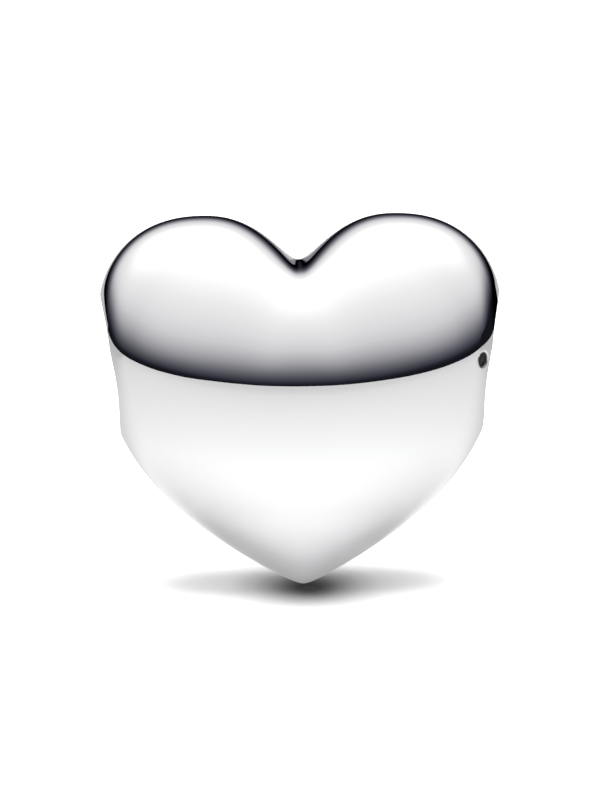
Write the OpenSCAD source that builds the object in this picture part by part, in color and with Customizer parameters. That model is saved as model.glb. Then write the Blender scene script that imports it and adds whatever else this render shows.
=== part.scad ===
// Heart bead charm: a plump heart, cast in one piece, with a round hole through it from side to side.
// The origin is the middle of the hole. +X runs along the hole, -Y is the front, and +Z is up.
// All sizes are in millimetres and all angles in degrees.

/* [Heart] */
// Width across the lobes, before the hole's mouths trim the sides
width = 12; // [11:0.1:16]
// Thickness from the front face to the back face
depth = 7.7; // [6.8:0.1:11]
// Height of the lobe tops above the middle of the hole
lobe_rise = 4.4; // [4:0.1:6]
// Distance between the tops of the two lobes
lobe_pitch = 5.7; // [4.8:0.1:6.8]
// Depth of the notch below the lobe tops
notch_depth = 1.47; // [0.8:0.01:1.6]
// Height of the widest level above the middle of the hole
widest_rise = 1.6; // [0.8:0.1:2]
// Drop from the middle of the hole to the tip
tip_drop = 6.65; // [5.6:0.05:9]

/* [Hole] */
// Diameter of the hole that the bracelet goes through
bore_d = 4.2; // [3.4:0.1:4.6]
// Size of the rounded edge of each mouth
rim_r = 0.07; // [0.05:0.01:0.25]

/* [Punch mark] */
// Diameter of the round punch mark beside the right-hand mouth
mark_d = 0.48; // [0.3:0.02:0.6]
// Depth of the punch mark
mark_depth = 0.05; // [0.03:0.01:0.1]
// How far the middle of the punch mark lies outside the hole's wall
mark_offset = 0.37; // [0.35:0.01:0.8]
// Angle of the punch mark above the level of the hole's middle
mark_angle = 8; // [-20:1:20]

/* [Corners] */
// Radius of the notch's corner at the outline
notch_r = 0.2; // [0.1:0.01:0.4]
// How much the notch's corner widens from the outline to the faces
notch_spread = 0.2; // [0:0.05:1.5]
// Radius of the tip's corner at the outline
tip_r = 0.2; // [0.05:0.01:0.4]
// How much the tip's corner widens from the outline to the faces
tip_spread = 1.5; // [0:0.1:3]

/* [Fullness] */
// Height of the faces' smooth crown above the middle of the hole
crown_rise = 4; // [3.5:0.1:5]
// Drop of the faces' smooth belly below the middle of the hole
belly_drop = 5.6; // [4.5:0.1:6.5]
// Height of the deepest level at the middle of the heart
middle_rise = -0.38; // [-1:0.02:0]
// How much higher the deepest level is at the sides
side_lift = 1.15; // [0:0.05:1.5]
// Squareness of the heart seen from above, where 2 is an ellipse
plan_power = 2.9; // [2.5:0.1:4]
// Squareness of the faces from the middle plane to the front
face_power = 2.45; // [2:0.05:3]
// Squareness of the section above the deepest level
upper_power = 1.7; // [1.5:0.05:2.2]
// Squareness of the section below the deepest level
lower_power = 1.5; // [1.4:0.05:2.2]
// Squareness of the inner side of each lobe, down to the notch
notch_power = 2.25; // [2:0.05:2.6]
// Squareness of the outer side of each lobe
lobe_power = 2.25; // [2:0.05:2.6]
// Squareness of the lower outline, where 1 is a straight line to the tip
side_power = 2.77; // [2:0.01:3.2]
// Squareness of the belly
belly_power = 3; // [2:0.1:4]

/* [Hidden] */

half_w = width / 2;
half_d = depth / 2;
lobe_x = lobe_pitch / 2;
notch_z = lobe_rise - notch_depth;
bore_r = bore_d / 2;
// The lobes fade into the crown, and the tip into the belly, at these rates
crown_fade = 1.7;
belly_fade = 2.2;
// The notch fades faster than the lobes, by this much at its middle, and less up to about this far from it
notch_fade = 1.8;
notch_reach = 0.8;
// Grid of the skin: steps round the hole, steps from the middle to a mouth, and steps over the mouth's edge
steps_round = 64;
steps_out = 22;
steps_rim = 4;
// The steps from the middle outwards start fine, for the corners of the notch and the tip
step_growth = 1.5;
// The mouth's edge runs on this far inside the hole's wall, so that the hole cuts it cleanly
rim_lap = 0.04;
// Surface points are found by halving, this many times, up to this distance from the origin
halvings = 24;
far = 2 * (width + tip_drop);
// Step for measuring the surface's slope
nudge = 0.01;

// Quarter of an oval that falls from 1 at t = 0 to 0 at t = 1
function arch(t, power) = sqrt(max(0, 1 - pow(t, power)));

// Height of the deepest level
function middle_z(x) = middle_rise + side_lift * pow(x / half_w, 2);

// The faces' smooth crown and belly, which have no notch and no tip
function crown_z(x) = widest_rise + (crown_rise - widest_rise) * arch(abs(x) / half_w, 2);
function belly_z(x) = widest_rise - (widest_rise + belly_drop) * arch(abs(x) / half_w, belly_power);

// Upper and lower outline. open is 0 at the outline and 1 at the deepest level
function top_z(x, open) =
    let (r = notch_r + notch_spread * open)
    let (share = (norm([x, r]) - notch_r) / (norm([lobe_x, r]) - notch_r))
    abs(x) < lobe_x
        ? notch_z + notch_depth * (1 - pow(1 - share, notch_power))
        : widest_rise + (lobe_rise - widest_rise) * arch((abs(x) - lobe_x) / (half_w - lobe_x), lobe_power);
function tip_z(x, open) =
    let (r = tip_r + tip_spread * open)
    let (share = (norm([x, r]) - r) / (norm([half_w, r]) - r))
    widest_rise - (widest_rise + tip_drop) * pow(max(0, 1 - share), 1 / side_power);

// Half the heart's thickness at x
function half_depth(x) = half_d * pow(max(0, 1 - pow(abs(x) / half_w, plan_power)), 1 / plan_power);

// How far point p is out towards the surface at its own x: 0 at the middle plane, 1 at the deepest level
function openness(p) = abs(p.x) < half_w ? pow(abs(p.y) / half_depth(p.x), face_power) : 1;

// Rate at which the top fades into the crown
function top_fade(x) = crown_fade + notch_fade * exp(-pow(x / notch_reach, 2));

// True where p lies in the heart
function inside(p) =
    let (open = openness(p))
    open < 1 && p.z < upper_skin(p.x, open) && p.z > lower_skin(p.x, open);
function upper_skin(x, open) =
    let (rise = pow(1 - open, 1 / upper_power))
    middle_z(x) + (crown_z(x) - middle_z(x)) * rise
        + (top_z(x, open) - crown_z(x)) * pow(rise, top_fade(x));
function lower_skin(x, open) =
    let (rise = pow(1 - open, 1 / lower_power))
    middle_z(x) + (belly_z(x) - middle_z(x)) * rise
        + (tip_z(x, open) - belly_z(x)) * pow(rise, belly_fade);

// Point at x along the hole and r out from its axis, at an angle round it
function round_hole(x, r, angle) = [x, r * cos(angle), r * sin(angle)];

// Distance to the skin from the middle of the hole. tilt is 0 square to the hole and 90 along it
function reach(tilt, angle, low = 0, high = far, n = halvings) =
    let (half = (low + high) / 2)
    n == 0 ? half
        : inside(half * round_hole(sin(tilt), cos(tilt), angle)) ? reach(tilt, angle, half, high, n - 1)
        : reach(tilt, angle, low, half, n - 1);
function skin(tilt, angle) = reach(tilt, angle) * round_hole(sin(tilt), cos(tilt), angle);

// How far along the hole the skin is, at r out from its axis
function along(r, angle, low = 0, high = half_w, n = halvings) =
    let (half = (low + high) / 2)
    n == 0 ? half
        : inside(round_hole(half, r, angle)) ? along(r, angle, half, high, n - 1)
        : along(r, angle, low, half, n - 1);

// Rounded edge of the right-hand mouth: a curve from the skin, round the corner, to the hole's wall
function rim(t, angle) =
    let (r = bore_r + rim_r)
    let (start_x = along(r, angle))
    let (slope = (along(r + nudge, angle) - along(r - nudge, angle)) / (2 * nudge))
    let (corner_x = start_x - slope * rim_r)
    round_hole(
        pow(1 - t, 2) * start_x + 2 * t * (1 - t) * corner_x + t * t * (corner_x - rim_r),
        pow(1 - t, 2) * r + 2 * t * (1 - t) * bore_r + t * t * (bore_r - rim_lap),
        angle
    );

// Right half of the skin at one angle round the hole, from the middle to inside the right-hand mouth
function half_strip(angle) =
    let (edge_tilt = atan2(along(bore_r + rim_r, angle), bore_r + rim_r))
    concat(
        [for (i = [0 : steps_out]) skin(edge_tilt * pow(i / steps_out, step_growth), angle)],
        [for (i = [1 : steps_rim]) rim(i / steps_rim, angle)]
    );
function strip(angle) =
    let (right = half_strip(angle))
    let (last = len(right) - 1)
    concat(
        [for (i = [last : -1 : 1]) [-right[i].x, right[i].y, right[i].z]],
        right
    );

// The whole heart as a closed skin. The mouths are closed by fans, which the hole cuts away
module solid_heart() {
    strips = [for (i = [0 : steps_round - 1]) strip(360 * i / steps_round)];
    across = len(strips[0]);
    count = across * steps_round;
    points = concat([for (s = strips) each s], [[-lobe_x, 0, 0], [lobe_x, 0, 0]]);
    at = function (i, j) (i % steps_round) * across + j;
    faces = [
        for (i = [0 : steps_round - 1]) each concat(
            [for (j = [0 : across - 2]) [at(i, j), at(i + 1, j), at(i + 1, j + 1)]],
            [for (j = [0 : across - 2]) [at(i, j), at(i + 1, j + 1), at(i, j + 1)]],
            [[at(i + 1, 0), at(i, 0), count], [at(i, across - 1), at(i + 1, across - 1), count + 1]]
        )
    ];
    polyhedron(points, faces);
}

// Shallow round recess, square to the skin, in front of the right-hand mouth
module punch_mark() {
    angle = 180 - mark_angle;
    tilt = atan2(along(bore_r + mark_offset, angle), bore_r + mark_offset);
    middle = skin(tilt, angle);
    outward = cross(skin(tilt, angle + 1) - middle, skin(tilt + 1, angle) - middle);
    turn = atan2(outward.y, outward.x);
    lean = acos(outward.z / norm(outward));
    translate(middle)
        rotate([0, lean, turn])
            translate([0, 0, -mark_depth])
                cylinder(h = mark_d, d = mark_d, $fn = 32);
}

module bore() {
    rotate([0, 90, 0])
        cylinder(h = 2 * width, d = bore_d, center = true, $fn = 96);
}

module charm_body() {
    color("silver")
        difference() {
            solid_heart();
            bore();
            punch_mark();
        }
}

charm_body();
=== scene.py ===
"""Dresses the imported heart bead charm: polished silver in a plain white studio.

The heart is modelled on a fine grid, from the same sizes as the CAD part, because a mirror polish shows
every facet. The origin is the middle of the hole. +X runs along the hole, -Y is the front and +Z is up.
"""

import math

import bpy
import numpy as np
from mathutils import Matrix, Vector


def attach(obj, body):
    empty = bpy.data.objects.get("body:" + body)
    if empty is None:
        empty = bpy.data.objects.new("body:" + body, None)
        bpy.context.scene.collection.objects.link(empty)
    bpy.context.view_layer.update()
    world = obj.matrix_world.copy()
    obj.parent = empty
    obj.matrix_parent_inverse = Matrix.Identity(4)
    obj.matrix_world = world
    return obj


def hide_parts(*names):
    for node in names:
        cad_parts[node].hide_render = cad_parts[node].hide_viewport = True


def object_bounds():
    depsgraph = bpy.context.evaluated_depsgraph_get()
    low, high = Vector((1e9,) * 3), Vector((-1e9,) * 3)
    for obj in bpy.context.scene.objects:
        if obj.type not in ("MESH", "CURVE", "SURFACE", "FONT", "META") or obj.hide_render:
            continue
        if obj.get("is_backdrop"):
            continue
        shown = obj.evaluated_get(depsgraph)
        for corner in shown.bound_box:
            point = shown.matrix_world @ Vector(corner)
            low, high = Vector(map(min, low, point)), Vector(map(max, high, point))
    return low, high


bl_info = {
    "name": "Heart Bead Charm",
    "version": (1, 0, 0),
    "blender": (4, 5, 0),
    "location": "3D View > Sidebar > Heart Charm",
    "description": "Models a polished silver heart bead and its white studio",
    "category": "Add Mesh",
}

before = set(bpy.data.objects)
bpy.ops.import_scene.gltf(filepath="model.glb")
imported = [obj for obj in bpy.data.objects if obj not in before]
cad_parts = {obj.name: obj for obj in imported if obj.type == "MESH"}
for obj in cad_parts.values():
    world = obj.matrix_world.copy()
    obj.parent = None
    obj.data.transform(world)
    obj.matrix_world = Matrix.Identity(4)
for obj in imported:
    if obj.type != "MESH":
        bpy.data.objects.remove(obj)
CAD_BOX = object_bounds()
MM = 0.001


# Colours, nodes and meshes


def hex_parts(code):
    """Red, green and blue of an sRGB hex value, each from 0 to 1."""
    return [int(code[i : i + 2], 16) / 255 for i in (1, 3, 5)]


def linear(code):
    """Linear colour of an sRGB hex value."""
    return [c / 12.92 if c <= 0.04045 else ((c + 0.055) / 1.055) ** 2.4 for c in hex_parts(code)]


def as_hex(color):
    """sRGB hex value of a colour property."""
    return "#" + "".join(f"{round(c * 255):02x}" for c in color)


def add_node(tree, kind, inputs=(), **settings):
    """Adds a shader node and sets its properties and sockets. Each of the inputs gets a link or a value."""
    node = tree.nodes.new(kind)
    for name, value in settings.items():
        if hasattr(node, name):
            setattr(node, name, value)
        else:
            node.inputs[name.replace("_", " ")].default_value = value
    for socket, source in inputs:
        if isinstance(source, bpy.types.NodeSocket):
            tree.links.new(source, node.inputs[socket])
        else:
            node.inputs[socket].default_value = source
    return node


def add_place(tree):
    """Adds a point's place on its own object, and returns that output."""
    return add_node(tree, "ShaderNodeTexCoord").outputs["Object"]


def add_sum(tree, operation, *values):
    """Adds a math node with these inputs, and returns its output."""
    return add_node(tree, "ShaderNodeMath", enumerate(values), operation=operation).outputs["Value"]


def add_length(tree, vector):
    """Adds the length of a vector output, and returns that output."""
    return add_node(tree, "ShaderNodeVectorMath", [("Vector", vector)], operation="LENGTH").outputs["Value"]


def add_range(tree, value, start, end, low=0.0, high=1.0, kind="SMOOTHSTEP"):
    """Adds a range from low, where the value is start, to high, where it is end. Returns its output."""
    node = add_node(tree, "ShaderNodeMapRange", [("Value", value)], interpolation_type=kind,
                    From_Min=start, From_Max=end, To_Min=low, To_Max=high)
    return node.outputs["Result"]


def add_grain(tree, place, width, detail, roughness):
    """Adds a noise whose lumps are about this wide, and returns its output."""
    node = add_node(tree, "ShaderNodeTexNoise", [("Vector", place)],
                    Scale=1 / width, Detail=detail, Roughness=roughness)
    return node.outputs["Fac"]


def add_blend(tree, share, first, second):
    """Adds a colour mix of two colours or outputs, and returns its output."""
    ends = [(*end, 1) if isinstance(end, list) else end for end in (first, second)]
    node = add_node(tree, "ShaderNodeMix", data_type="RGBA")
    # The mix node has sockets of the same name for each data type. These are the ones for colours
    for socket, value in zip((node.inputs[0], node.inputs[6], node.inputs[7]), (share, *ends)):
        if isinstance(value, bpy.types.NodeSocket):
            tree.links.new(value, socket)
        else:
            socket.default_value = value
    return node.outputs[2]


def add_tones(tree, value, stops):
    """Adds a colour ramp with these stops, each a position and a colour, and returns its output."""
    node = add_node(tree, "ShaderNodeValToRGB", [("Fac", value)])
    ramp = node.color_ramp
    ramp.elements.remove(ramp.elements[-1])
    first, color = stops[0]
    ramp.elements[0].position = first
    ramp.elements[0].color = (*color, 1)
    for at, color in stops[1:]:
        ramp.elements.new(at).color = (*color, 1)
    return node.outputs["Color"]


def new_material(name):
    """Material without nodes yet, and its node tree."""
    material = bpy.data.materials.new(name)
    material.use_nodes = True
    material.node_tree.nodes.clear()
    return material, material.node_tree


def add_surface(tree, shader):
    """Adds the material's output, with this shader output for its surface."""
    add_node(tree, "ShaderNodeOutputMaterial", [("Surface", shader)])


def new_primitive(add, name, **sizes):
    """Adds a primitive with nothing else selected, and names it."""
    bpy.ops.object.select_all(action="DESELECT")
    add(**sizes)
    piece = bpy.context.object
    piece.name = name
    piece.data.name = name
    return piece


# Form of the heart, in millimetres. These are the CAD part's own rules


class HeartForm:
    """The heart's skin as a rule: is a point in the metal or not."""

    # The lobes fade into the crown and the tip into the belly at these rates, and the notch fades faster than
    # the lobes, by this much at its middle, and less up to about this far from it
    crown_fade, belly_fade = 1.7, 2.2
    notch_fade, notch_reach = 1.8, 0.8
    # Surface points are found by halving, this many times, up to this distance from the origin
    halvings, far = 44, 20.0
    # Step for measuring the surface's slope
    nudge = 0.01

    def __init__(self, s):
        mm = lambda v: v / MM
        self.half_w, self.half_d = mm(s.width) / 2, mm(s.depth) / 2
        self.lobe_x, self.lobe_rise = mm(s.lobe_pitch) / 2, mm(s.lobe_rise)
        self.notch_depth, self.notch_z = mm(s.notch_depth), mm(s.lobe_rise - s.notch_depth)
        self.widest, self.tip_drop = mm(s.widest_rise), mm(s.tip_drop)
        self.crown_rise, self.belly_drop = mm(s.crown_rise), mm(s.belly_drop)
        self.middle_rise, self.side_lift = mm(s.middle_rise), mm(s.side_lift)
        self.notch_r, self.notch_spread = mm(s.notch_r), mm(s.notch_spread)
        self.tip_r, self.tip_spread = mm(s.tip_r), mm(s.tip_spread)
        self.plan, self.face = s.plan_power, s.face_power
        self.upper, self.lower = s.upper_power, s.lower_power
        self.notch, self.lobe = s.notch_power, s.lobe_power
        self.side, self.belly = s.side_power, s.belly_power
        self.bore_r, self.rim_r = mm(s.bore_d) / 2, mm(s.rim_r)

    @staticmethod
    def arch(t, power):
        """Quarter of an oval that falls from 1 to 0."""
        return np.sqrt(np.maximum(0, 1 - np.power(t, power)))

    def top_z(self, x, open_):
        """Height of the upper outline. open_ is 0 at the outline and 1 at the deepest level."""
        r = self.notch_r + self.notch_spread * open_
        share = (np.hypot(x, r) - self.notch_r) / (np.hypot(self.lobe_x, r) - self.notch_r)
        inner = self.notch_z + self.notch_depth * (1 - np.maximum(0, 1 - share) ** self.notch)
        side = np.clip((x - self.lobe_x) / (self.half_w - self.lobe_x), 0, 1)
        outer = self.widest + (self.lobe_rise - self.widest) * self.arch(side, self.lobe)
        return np.where(x < self.lobe_x, inner, outer)

    def tip_z(self, x, open_):
        """Height of the lower outline."""
        r = self.tip_r + self.tip_spread * open_
        share = (np.hypot(x, r) - r) / (np.hypot(self.half_w, r) - r)
        return self.widest - (self.widest + self.tip_drop) * np.maximum(0, 1 - share) ** (1 / self.side)

    def inside(self, x, y, z):
        """True where the point lies in the metal."""
        x, y = np.abs(x), np.abs(y)
        t = np.minimum(x / self.half_w, 1)
        depth = self.half_d * np.power(1 - np.power(t, self.plan), 1 / self.plan)
        open_ = np.minimum(np.power(y / np.maximum(depth, 1e-9), self.face), 1)
        middle = self.middle_rise + self.side_lift * t**2
        crown = self.widest + (self.crown_rise - self.widest) * self.arch(t, 2)
        belly = self.widest - (self.widest + self.belly_drop) * self.arch(t, self.belly)
        rise = np.power(1 - open_, 1 / self.upper)
        fall = np.power(1 - open_, 1 / self.lower)
        top_fade = self.crown_fade + self.notch_fade * np.exp(-((x / self.notch_reach) ** 2))
        high = middle + (crown - middle) * rise + (self.top_z(x, open_) - crown) * rise**top_fade
        low = middle + (belly - middle) * fall + (self.tip_z(x, open_) - belly) * fall**self.belly_fade
        return (t < 1) & (open_ < 1) & (z < high) & (z > low)

    def halve(self, point_at, low, high):
        """Where the skin is between low and high, found by halving."""
        for _ in range(self.halvings):
            half = (low + high) / 2
            within = self.inside(*point_at(half))
            low, high = np.where(within, half, low), np.where(within, high, half)
        return (low + high) / 2

    def reach(self, tilt, angle):
        """Distance to the skin from the origin. tilt is 0 square to the hole."""
        way = np.sin(tilt), np.cos(tilt) * np.cos(angle), np.cos(tilt) * np.sin(angle)
        return self.halve(lambda d: [d * w for w in way], np.zeros_like(tilt), np.full_like(tilt, self.far))

    def along(self, r, angle):
        """How far along the hole the skin is, at r out from its axis."""
        y, z = r * np.cos(angle), r * np.sin(angle)
        return self.halve(lambda x: (x, y, z), np.zeros_like(angle), np.full_like(angle, self.half_w))

    def half_profile(self, angle, steps_out, steps_rim, steps_wall):
        """x and r of the right half at each angle: skin, rounded rim, and hole's wall back to the middle."""
        edge_r, nudge = self.bore_r + self.rim_r, self.nudge
        edge_x = self.along(edge_r, angle)
        slope = (self.along(edge_r + nudge, angle) - self.along(edge_r - nudge, angle)) / (2 * nudge)
        corner_x = edge_x - slope * self.rim_r
        # Steps are finest at the notch and tip, and at the mouth
        share = (1 - np.cos(math.pi * np.arange(steps_out + 1) / steps_out)) / 2
        tilt = np.arctan2(edge_x, edge_r)[:, None] * share
        reach = self.reach(tilt, np.broadcast_to(angle[:, None], tilt.shape))
        skin_x, skin_r = reach * np.sin(tilt), reach * np.cos(tilt)
        t = np.arange(1, steps_rim + 1) / steps_rim
        rim_x = ((1 - t) ** 2 * edge_x[:, None] + 2 * t * (1 - t) * corner_x[:, None]
                 + t**2 * (corner_x - self.rim_r)[:, None])
        rim_r = (1 - t) ** 2 * edge_r + (2 * t * (1 - t) + t**2) * self.bore_r
        wall_x = rim_x[:, -1:] * (1 - np.arange(1, steps_wall + 1) / steps_wall)
        rim_r = np.broadcast_to(rim_r, rim_x.shape)
        wall_r = np.full_like(wall_x, self.bore_r)
        return np.hstack([skin_x, rim_x, wall_x]), np.hstack([skin_r, rim_r, wall_r])


# Sizes and colours that a user would change


def length(name, text, default):
    """A size, with its default in millimetres."""
    return bpy.props.FloatProperty(
        name=name, description=text, default=default * MM, unit="LENGTH", subtype="DISTANCE", precision=5
    )


def number(name, text, default, **more):
    """A plain number."""
    return bpy.props.FloatProperty(name=name, description=text, default=default, precision=3, **more)


def paint(name, text, default):
    """A colour, with its default as an sRGB hex value."""
    return bpy.props.FloatVectorProperty(
        name=name, description=text, default=hex_parts(default), size=3, min=0, max=1, subtype="COLOR_GAMMA"
    )


class HEARTCHARM_PG_form(bpy.types.PropertyGroup):
    width: length("Width", "Width across the lobes, before the hole trims the sides", 12)
    depth: length("Depth", "Thickness from the front face to the back face", 7.7)
    lobe_rise: length("Lobe rise", "Height of the lobe tops above the middle of the hole", 4.4)
    lobe_pitch: length("Lobe pitch", "Distance between the tops of the two lobes", 5.7)
    notch_depth: length("Notch depth", "Depth of the notch below the lobe tops", 1.47)
    widest_rise: length("Widest rise", "Height of the widest level above the middle of the hole", 1.6)
    tip_drop: length("Tip drop", "Drop from the middle of the hole to the tip", 6.65)
    crown_rise: length("Crown rise", "Height of the faces' smooth crown", 4)
    belly_drop: length("Belly drop", "Drop of the faces' smooth belly", 5.6)
    middle_rise: length("Middle rise", "Height of the deepest level at the middle", -0.38)
    side_lift: length("Side lift", "How much higher the deepest level is at the sides", 1.15)
    notch_r: length("Notch radius", "Radius of the notch's corner at the outline", 0.2)
    notch_spread: length("Notch spread", "How much the notch's corner widens to the faces", 0.2)
    tip_r: length("Tip radius", "Radius of the tip's corner at the outline", 0.2)
    tip_spread: length("Tip spread", "How much the tip's corner widens to the faces", 1.5)
    plan_power: number("Plan squareness", "Squareness seen from above, where 2 is an ellipse", 2.9)
    face_power: number("Face squareness", "Squareness from the middle plane to the front", 2.45)
    upper_power: number("Upper squareness", "Squareness of the section above the deepest level", 1.7)
    lower_power: number("Lower squareness", "Squareness of the section below the deepest level", 1.5)
    notch_power: number("Notch squareness", "Squareness of the inner side of each lobe", 2.25)
    lobe_power: number("Lobe squareness", "Squareness of the outer side of each lobe", 2.25)
    side_power: number("Side squareness", "Squareness of the lower outline", 2.77)
    belly_power: number("Belly squareness", "Squareness of the belly", 3)
    bore_d: length("Hole diameter", "Diameter of the hole that the bracelet goes through", 4.2)
    rim_r: length("Rim radius", "Size of the rounded edge of each mouth", 0.07)
    mark_d: length("Mark diameter", "Diameter of the round punch mark", 0.48)
    mark_depth: length("Mark depth", "Depth of the punch mark", 0.05)
    mark_offset: length("Mark offset", "How far the mark's middle lies outside the hole's wall", 0.37)
    mark_angle: number("Mark angle", "Angle of the mark above the level of the hole's middle, in degrees", 8)


class HEARTCHARM_PG_finish(bpy.types.PropertyGroup):
    silver: paint("Silver", "Colour of the polished silver", "#e6e6e7")
    wall: paint("Hole's wall", "Colour of the turned wall of the hole", "#c9c9cc")
    mark: paint("Punch mark", "Colour of the dull floor of the punch mark", "#303034")
    polish: number("Polish", "Roughness of the mirror polish", 0.02, min=0, max=1, subtype="FACTOR")


class HEARTCHARM_PG_studio(bpy.types.PropertyGroup):
    lens: number("Lens", "Focal length of the camera, on a 36 mm sensor", 362.2)
    distance: length("Distance", "From the camera to the middle of the heart", 240)
    yaw: number("Yaw", "How far round to the right the camera stands, in degrees", -0.9)
    elevation: number("Elevation", "Height of the camera above the horizon, in degrees", 8.3)
    roll: number("Roll", "Roll of the camera, in degrees", -0.71)
    zenith: number("Overhead light", "Strength of the soft light straight overhead", 8.8)
    floor: paint("Floor", "Colour of the white floor", "#f4f4f4")


# Materials


def mirror_silver(finish):
    """Sterling silver, cast and buffed to a mirror. It shows its surroundings almost unchanged.
    Buffing leaves waves of about a millimetre, too low to see but for a slight softness in the reflections.
    In the punch mark the silver is dull, dark and finely pitted. The points' "mark" is 1 at its edge."""
    material, tree = new_material("sterling_silver_mirror_buffed")
    place = add_place(tree)
    mark = add_node(tree, "ShaderNodeAttribute", attribute_name="mark").outputs["Fac"]
    struck = add_range(tree, mark, 1.0, 0.88, kind="LINEAR")
    haze = add_grain(tree, place, 0.8 * MM, 3.0, 0.6)
    gloss = add_range(tree, haze, 0.3, 0.7, finish.polish * 0.6, finish.polish * 1.4, "LINEAR")
    waves = add_grain(tree, place, 1.6 * MM, 1.0, 0.4)
    pits = add_grain(tree, place, 0.07 * MM, 4.0, 0.7)
    dark, silver = linear(as_hex(finish.mark)), linear(as_hex(finish.silver))
    raised = add_range(tree, pits, 0.4, 0.65, kind="LINEAR")
    dull = add_blend(tree, raised, [c * 0.2 for c in dark], [c * 2.5 for c in dark])
    color = add_blend(tree, struck, silver, dull)
    rough = add_sum(tree, "MULTIPLY_ADD", struck, 0.4, gloss)
    low = add_node(tree, "ShaderNodeBump", [("Height", waves)], Strength=1.0, Distance=0.0015 * MM)
    bump = add_node(tree, "ShaderNodeBump",
                    [("Height", pits), ("Normal", low.outputs["Normal"]), ("Strength", struck)],
                    Distance=0.01 * MM)
    shader = add_node(tree, "ShaderNodeBsdfPrincipled",
                      [("Base Color", color), ("Roughness", rough), ("Normal", bump.outputs["Normal"])],
                      Metallic=1.0)
    add_surface(tree, shader.outputs["BSDF"])
    return material


def turned_silver(finish):
    """Sterling silver, turned in the hole and left satin. Fine rings run round the hole."""
    material, tree = new_material("sterling_silver_turned_satin")
    # Distance between two rings, and what it is in a wave texture of scale 1, in metres
    ring_pitch, unit_pitch = 0.32 * MM, 0.314
    rings = add_node(tree, "ShaderNodeTexWave", [("Vector", add_place(tree))],
                     wave_type="BANDS", bands_direction="X", Scale=unit_pitch / ring_pitch,
                     Distortion=1.2, Detail=2.0, Detail_Scale=0.5).outputs["Fac"]
    rough = add_range(tree, rings, 0.0, 1.0, 0.22, 0.34, "LINEAR")
    bump = add_node(tree, "ShaderNodeBump", [("Height", rings)], Strength=1.0, Distance=0.002 * MM)
    shader = add_node(tree, "ShaderNodeBsdfPrincipled",
                      [("Roughness", rough), ("Normal", bump.outputs["Normal"])],
                      Base_Color=(*linear(as_hex(finish.wall)), 1), Metallic=1.0)
    add_surface(tree, shader.outputs["BSDF"])
    return material


# Operators


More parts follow.
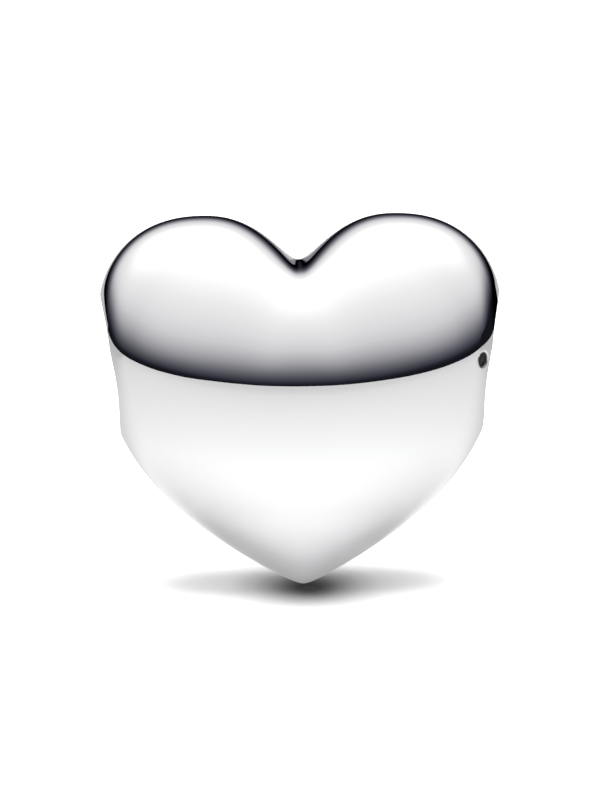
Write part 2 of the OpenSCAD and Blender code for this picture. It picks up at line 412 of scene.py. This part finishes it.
class HEARTCHARM_OT_heart(bpy.types.Operator):
    """Models the polished heart with its hole and punch mark"""

    bl_idname = "heartcharm.heart"
    bl_label = "Add Heart"

    # Grid of the heart: steps round the hole, over half the skin, over the rim and over half the wall.
    # Both ways round come to 256, the most that a torus has
    around, steps_out, steps_rim, steps_wall = 256, 110, 12, 6
    # How much closer the steps round the hole are at the faces, where the punch mark is
    crowding = 0.175
    # Width of the slope at the punch mark's edge, in mm
    mark_slope = 0.03
    # A face belongs to the hole's wall if its corners are no further outside the wall than this, in mm
    wall_slack = 0.002

    def execute(self, context):
        sizes = context.scene.heart_form
        form = HeartForm(sizes)
        mark_angle = math.pi - math.radians(sizes.mark_angle)
        turn = 2 * math.pi * np.arange(self.around) / self.around
        angle = turn - self.crowding * np.sin(2 * (turn - mark_angle))
        half_x, half_r = form.half_profile(angle, self.steps_out, self.steps_rim, self.steps_wall)
        x = np.hstack([half_x, -half_x[:, -2:0:-1]])
        r = np.hstack([half_r, half_r[:, -2:0:-1]])
        points = np.stack([x, r * np.cos(angle)[:, None], r * np.sin(angle)[:, None]], axis=2)
        across = points.shape[1]

        # The torus gives the closed grid, and each of its points then goes to its place on the heart
        heart = new_primitive(bpy.ops.mesh.primitive_torus_add, "heart", major_segments=self.around,
                              minor_segments=across, major_radius=4 * MM, minor_radius=1.5 * MM)
        if len(heart.data.vertices) != self.around * across:
            raise RuntimeError("the torus doesn't have the grid's number of points")
        marked = self.press_mark(points.reshape(-1, 3), form, sizes, mark_angle)
        heart.data.vertices.foreach_set("co", (points * MM).astype(np.float32).ravel())
        heart.data.update()

        bpy.ops.object.mode_set(mode="EDIT")
        bpy.ops.mesh.select_all(action="SELECT")
        bpy.ops.mesh.normals_make_consistent(inside=False)
        bpy.ops.object.mode_set(mode="OBJECT")
        bpy.ops.object.shade_smooth()
        self.assign_finishes(heart, context.scene.heart_finish, form, marked)
        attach(heart, "root")
        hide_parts("charm_body")
        return {"FINISHED"}

    def press_mark(self, points, form, sizes, mark_angle):
        """Presses the round mark into the skin. Returns each point's distance from its middle, in radii."""
        mark_r, depth = sizes.mark_d / MM / 2, sizes.mark_depth / MM
        out = form.bore_r + sizes.mark_offset / MM
        angle = np.array([mark_angle])
        tilt = np.arctan2(form.along(out, angle), out)

        def skin(t, a):
            way = np.array([np.sin(t), np.cos(t) * np.cos(a), np.cos(t) * np.sin(a)])
            return (form.reach(t, a) * way).T[0]

        middle = skin(tilt, angle)
        outward = np.cross(skin(tilt, angle + form.nudge) - middle, skin(tilt + form.nudge, angle) - middle)
        outward /= np.linalg.norm(outward)
        if outward @ middle < 0:
            outward = -outward
        gap = points - middle
        flat = np.linalg.norm(gap - np.outer(gap @ outward, outward), axis=1)
        close = np.linalg.norm(gap, axis=1) < 3 * mark_r
        on_skin = np.hypot(points[:, 1], points[:, 2]) > form.bore_r
        away = np.where(close & on_skin, flat, form.far)
        fall = np.clip((mark_r - away) / self.mark_slope, 0, 1)
        points -= np.outer(depth * fall * fall * (3 - 2 * fall), outward)
        return away / mark_r

    def assign_finishes(self, heart, finish, form, marked):
        """Gives each face its finish by its place: mirror outside, and satin in the hole.
        Each point gets its distance from the punch mark."""
        mesh = heart.data
        mesh.materials.append(mirror_silver(finish))
        mesh.materials.append(turned_silver(finish))
        mark = mesh.attributes.new("mark", "FLOAT", "POINT")
        mark.data.foreach_set("value", marked.astype(np.float32))
        corners = np.empty(len(mesh.polygons) * 4, np.int32)
        mesh.polygons.foreach_get("vertices", corners)
        co = np.empty(len(mesh.vertices) * 3, np.float32)
        mesh.vertices.foreach_get("co", co)
        co = co.reshape(-1, 3)
        wall = np.hypot(co[:, 1], co[:, 2]) < (form.bore_r + self.wall_slack) * MM
        slots = np.where(wall[corners.reshape(-1, 4)].all(axis=1), 1, 0)
        mesh.polygons.foreach_set("material_index", slots.astype(np.int32))
        mesh.update()


class HEARTCHARM_OT_studio(bpy.types.Operator):
    """Builds the white floor, the room that the silver reflects and the camera"""

    bl_idname = "heartcharm.studio"
    bl_label = "Add Studio"

    # What the polished silver shows of the room at each height, from 0 at the horizon to 1 overhead
    room = [(0.0, "#010102"), (0.03, "#18181f"), (0.06, "#20202a"), (0.09, "#35353f"), (0.13, "#494952"),
            (0.18, "#64646c"), (0.23, "#808086"), (0.33, "#aeaeb2"), (0.43, "#cccccf"), (0.53, "#dbdbdd"),
            (0.63, "#e4e4e5"), (0.73, "#ececec"), (0.8, "#f4f4f4"), (0.86, "#fbfbfb"), (0.89, "#ffffff")]
    # Heights between which the overhead light begins
    lamp_low, lamp_high = 0.865, 0.925

    # The dark card's distance from the heart in mm, and its folds: turn from the front to the right in
    # degrees, and height of its foot and top in mm
    card_out = 40
    card_folds = [(-122, 0.4, 1.6), (-100, 0, 1.2), (-72, -0.95, 0.9), (-48, -1.6, 0.7), (-30, -1.3, 0.5),
                  (-17, -0.4, 0.4), (-5, -0.1, 0.3), (5, -0.4, 0.3), (17, -0.7, 0.4), (30, -1.2, 0.5),
                  (45, -1.45, 0.7), (65, -0.95, 0.9), (86, -0.1, 1.2), (92, 0.05, 4), (143, -0.6, 4)]

    # How much light comes through the contact shade at each share of its reach, and that reach
    shade_stops = [(0.06, 0.07), (0.12, 0.16), (0.18, 0.3), (0.3, 0.58), (0.42, 0.79), (0.55, 0.92),
                   (0.75, 1)]
    shade_reach = 6 * MM

    # Radius of the floor and its veil of painted shade, radius of the white cloth, and the cloth's height, in
    # metres
    floor_r, cloth_r, cloth_h = 3, 0.499, 0.8

    def execute(self, context):
        studio = context.scene.heart_studio
        context.scene.view_settings.view_transform = "Standard"
        floor_z = CAD_BOX[0].z
        self.add_floor(studio, floor_z)
        self.add_painted_floor_shade(floor_z)
        self.add_contact_shade(floor_z)
        self.add_backdrop(floor_z)
        self.add_card()
        self.add_room(context.scene, studio, context.scene.heart_finish)
        self.add_camera(context.scene, studio)
        return {"FINISHED"}

    def seen_only_by(self, piece, *rays):
        """Limits a piece of the stage to these kinds of ray."""
        for ray in ("camera", "diffuse", "glossy", "transmission", "volume_scatter", "shadow"):
            setattr(piece, "visible_" + ray, ray in rays)

    def add_floor(self, studio, floor_z):
        """A wide white floor, matt. Painted light: it glows a little round the tip, for the light that silver
        throws back.
        """
        glow_in, glow_out, glow_most = 2 * MM, 4.8 * MM, 0.24
        floor = new_primitive(bpy.ops.mesh.primitive_circle_add, "floor", vertices=128, radius=self.floor_r,
                              fill_type="NGON", location=(0, 0, floor_z))
        material, tree = new_material("floor_matt_white")
        # Painted light: emission round the tip, in place of the light that the silver throws back onto the
        # floor
        out = add_length(tree, add_place(tree))
        glow = add_range(tree, out, glow_out, glow_in, 0.0, glow_most)
        shader = add_node(tree, "ShaderNodeBsdfPrincipled", [("Emission Strength", glow)],
                          Base_Color=(*linear(as_hex(studio.floor)), 1), Roughness=1.0,
                          Specular_IOR_Level=0.0, Emission_Color=(1, 1, 1, 1))
        add_surface(tree, shader.outputs["BSDF"])
        floor.data.materials.append(material)
        floor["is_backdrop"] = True

    def add_painted_floor_shade(self, floor_z):
        """Painted shade: a thin grey veil on the floor that only the silver sees. In the silver the floor gets
        less light further out, and less again behind the heart."""
        # Share of the light that comes through far out, the most near the tip, and the fall between them
        far, most, fall = 0.33, 0.82, 1.9 * MM
        # Places from front to back between which it gets less behind the heart, and the share that is left
        start, end, left = -2 * MM, 12 * MM, 0.76
        veil = new_primitive(bpy.ops.mesh.primitive_circle_add, "floor_veil_painted_shade", vertices=128,
                             radius=self.floor_r, fill_type="NGON", location=(0, 0, floor_z + 0.02 * MM))
        # Painted shade: a tint that darkens the floor as the silver shows it, further out and behind the heart
        material, tree = new_material("painted_floor_shade")
        place = add_place(tree)
        near = add_sum(tree, "DIVIDE", fall, add_length(tree, place))
        tone = add_sum(tree, "SMOOTH_MIN", add_sum(tree, "ADD", near, far), most, 0.1)
        y = add_node(tree, "ShaderNodeSeparateXYZ", [("Vector", place)]).outputs["Y"]
        behind = add_range(tree, y, start, end, 1.0, left)
        shader = add_node(tree, "ShaderNodeBsdfTransparent",
                          [("Color", add_sum(tree, "MULTIPLY", tone, behind))])
        add_surface(tree, shader.outputs["BSDF"])
        veil.data.materials.append(material)
        self.seen_only_by(veil, "glossy")
        veil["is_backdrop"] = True

    def add_contact_shade(self, floor_z):
        """Painted shadow: a soft dark spot in front of the tip that only the camera sees, for the heart's
        shadow on the floor. It is longer from front to back.
        """
        # How much a distance counts across, and from front to back
        squeeze = (1.1, 1 / 1.75, 1)
        spot = new_primitive(bpy.ops.mesh.primitive_circle_add, "contact_shade", vertices=96,
                             radius=15 * MM, fill_type="NGON",
                             location=(0.15 * MM, -1.1 * MM, floor_z + 0.01 * MM))
        material, tree = new_material("shade_soft_grey")
        oval = add_node(tree, "ShaderNodeVectorMath", [("Vector", add_place(tree))], operation="MULTIPLY")
        oval.inputs[1].default_value = squeeze
        share = add_sum(tree, "DIVIDE", add_length(tree, oval.outputs["Vector"]), self.shade_reach)
        # Painted shadow: darkest at the middle, and fading out to the edge of its reach
        tone = add_tones(tree, share, [(at, [light] * 3) for at, light in self.shade_stops])
        shader = add_node(tree, "ShaderNodeBsdfTransparent", [("Color", tone)])
        add_surface(tree, shader.outputs["BSDF"])
        spot.data.materials.append(material)
        self.seen_only_by(spot, "camera")
        spot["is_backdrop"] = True

    def add_backdrop(self, floor_z):
        """White cloth all round, which only the camera sees."""
        cloth = new_primitive(bpy.ops.mesh.primitive_cylinder_add, "backdrop", vertices=128,
                              radius=self.cloth_r, depth=self.cloth_h, end_fill_type="NOTHING",
                              location=(0, 0, floor_z + self.cloth_h / 2))
        material, tree = new_material("backdrop_white")
        shader = add_node(tree, "ShaderNodeEmission", Color=(1, 1, 1, 1), Strength=1.1)
        add_surface(tree, shader.outputs["Emission"])
        cloth.data.materials.append(material)
        self.seen_only_by(cloth, "camera")
        cloth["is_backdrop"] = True

    def add_card(self):
        """Dark card, folded round the heart, that only the silver sees. The paper's far edge shows below it.
        On the right, a little behind the heart, it stands tall. Both its ends fade to black."""
        fade_start, fade_end, least = 14 * MM, 22 * MM, 0.05
        folds = self.card_folds
        card = new_primitive(bpy.ops.mesh.primitive_grid_add, "dark_card", size=1,
                             x_subdivisions=len(folds) - 1, y_subdivisions=1)
        if len(card.data.vertices) != 2 * len(folds):
            raise RuntimeError("the card doesn't have two points for each fold")
        for i, (turn, foot, top) in enumerate(folds):
            x = self.card_out * math.sin(math.radians(turn))
            y = -self.card_out * math.cos(math.radians(turn))
            card.data.vertices[i].co = Vector((x, y, foot)) * MM
            card.data.vertices[i + len(folds)].co = Vector((x, y, top)) * MM
        material, tree = new_material("card_dark_matt")
        y = add_node(tree, "ShaderNodeSeparateXYZ", [("Vector", add_place(tree))]).outputs["Y"]
        glow = add_range(tree, y, fade_start, fade_end, 1.0, least, "LINEAR")
        shader = add_node(tree, "ShaderNodeEmission", [("Strength", glow)], Color=(*linear("#18181f"), 1))
        add_surface(tree, shader.outputs["Emission"])
        card.data.materials.append(material)
        self.seen_only_by(card, "glossy")
        card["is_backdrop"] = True

    def add_room(self, scene, studio, finish):
        """A dark room that gets lighter with height, faster beside the heart, under a wide soft light."""
        # How much higher the dark reaches to the right in front, and more behind, and straight behind
        right_rise, right_more, back_rise = 0.03, 0.05, 0.09
        # How much faster it gets light at the sides, and how much of that is lost straight behind
        side_gain, back_loss = 0.38, -0.35
        # Height added in front, which is lost again at the sides
        foot_front, foot_loss = 0.03, -0.03
        # Top of the paper behind the heart, how much it bends down to the sides, and half its soft edge
        paper_top, paper_bend, paper_soft = 0.045, 0.25, 0.012
        world = bpy.data.worlds.new("studio_room")
        scene.world = world
        world.use_nodes = True
        tree = world.node_tree
        tree.nodes.clear()
        place = add_node(tree, "ShaderNodeTexCoord")
        way = add_node(tree, "ShaderNodeSeparateXYZ", [("Vector", place.outputs["Generated"])])
        x, y, z = (way.outputs[axis] for axis in "XYZ")
        # From 0 in front to 1 behind: the first changes at the sides, and the last straight behind
        side, dark, back = (add_range(tree, y, *ends) for ends in ((-0.4, 0.4), (0.1, 0.6), (0.6, 1.0)))

        lean = add_sum(tree, "MULTIPLY_ADD", dark, right_more, right_rise)
        right = add_sum(tree, "MULTIPLY", add_sum(tree, "MAXIMUM", x, 0.0), lean)
        start = add_sum(tree, "MULTIPLY_ADD", back, back_rise, right)
        gain = add_sum(tree, "MULTIPLY_ADD", side, side_gain, 1.0)
        gain = add_sum(tree, "MULTIPLY_ADD", back, back_loss, gain)
        foot = add_sum(tree, "MULTIPLY_ADD", dark, foot_loss, foot_front)
        height = add_sum(tree, "MULTIPLY_ADD", add_sum(tree, "SUBTRACT", z, start), gain, foot)

        # The colours are those that the silver shows, so its own colour and the light's strength come off
        silver = linear(as_hex(finish.silver))
        light = lambda code: [c / s / studio.zenith for c, s in zip(linear(code), silver)]
        tone = add_tones(tree, height, [(at, light(code)) for at, code in self.room])

        # Behind the heart the paper of the floor sweeps up a little way, less so to the sides
        above = add_sum(tree, "SUBTRACT", z, paper_top)
        above = add_sum(tree, "MULTIPLY_ADD", add_sum(tree, "MULTIPLY", x, x), paper_bend, above)
        paper = add_sum(tree, "MULTIPLY", add_range(tree, above, paper_soft, -paper_soft),
                        add_sum(tree, "GREATER_THAN", y, 0.5))
        color = add_blend(tree, paper, tone, light("#7c7c82"))
        color = add_blend(tree, add_range(tree, z, self.lamp_low, self.lamp_high), color, [1, 1, 1])
        sky = add_node(tree, "ShaderNodeBackground", [("Color", color)], Strength=studio.zenith)
        add_node(tree, "ShaderNodeOutputWorld", [("Surface", sky.outputs["Background"])])

    def add_camera(self, scene, studio):
        """A long lens from slightly above, straight at the front."""
        # Height of the point that the camera keeps its distance from, and how far to the left of it and
        # below it the middle of the picture lies
        centre_z, aim_left, aim_down = 0.136 * MM, 0.012 * MM, 1.273 * MM
        data = bpy.data.cameras.new("camera")
        camera = bpy.data.objects.new("camera", data)
        scene.collection.objects.link(camera)
        data.lens, data.sensor_width = studio.lens, 36
        data.clip_start, data.clip_end = 0.01, 10
        yaw, rise, roll = (math.radians(v) for v in (studio.yaw, studio.elevation, studio.roll))
        ahead = Vector((-math.sin(yaw) * math.cos(rise), math.cos(yaw) * math.cos(rise), -math.sin(rise)))
        right = Vector((math.cos(yaw), math.sin(yaw), 0))
        up = right.cross(ahead)
        right, up = right * math.cos(roll) + up * math.sin(roll), up * math.cos(roll) - right * math.sin(roll)
        centre = Vector((0, 0, centre_z))
        camera.location = centre - ahead * studio.distance
        ahead = (centre - right * aim_left - up * aim_down - camera.location).normalized()
        right = (right - ahead * right.dot(ahead)).normalized()
        camera.rotation_euler = Matrix((right, right.cross(ahead), -ahead)).transposed().to_euler()
        scene.camera = camera


class HEARTCHARM_PT_panel(bpy.types.Panel):
    """Lists the charm's sizes, colours and steps"""

    bl_idname = "HEARTCHARM_PT_panel"
    bl_label = "Heart Charm"
    bl_space_type = "VIEW_3D"
    bl_region_type = "UI"
    bl_category = "Heart Charm"

    def draw(self, context):
        layout = self.layout
        for group in (context.scene.heart_form, context.scene.heart_finish, context.scene.heart_studio):
            box = layout.box()
            for name in group.__annotations__:
                box.prop(group, name)
        layout.operator(HEARTCHARM_OT_heart.bl_idname)
        layout.operator(HEARTCHARM_OT_studio.bl_idname)


CLASSES = (HEARTCHARM_PG_form, HEARTCHARM_PG_finish, HEARTCHARM_PG_studio,
           HEARTCHARM_OT_heart, HEARTCHARM_OT_studio, HEARTCHARM_PT_panel)


def register():
    for cls in CLASSES:
        bpy.utils.register_class(cls)
    bpy.types.Scene.heart_form = bpy.props.PointerProperty(type=HEARTCHARM_PG_form)
    bpy.types.Scene.heart_finish = bpy.props.PointerProperty(type=HEARTCHARM_PG_finish)
    bpy.types.Scene.heart_studio = bpy.props.PointerProperty(type=HEARTCHARM_PG_studio)


def unregister():
    del bpy.types.Scene.heart_form, bpy.types.Scene.heart_finish, bpy.types.Scene.heart_studio
    for cls in reversed(CLASSES):
        bpy.utils.unregister_class(cls)


def main():
    register()
    bpy.ops.heartcharm.heart()
    bpy.ops.heartcharm.studio()
    as_list = lambda box: [list(corner) for corner in box]
    {"cad": as_list(CAD_BOX), "visual": as_list(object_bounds())}


if __name__ == "__main__":
    main()
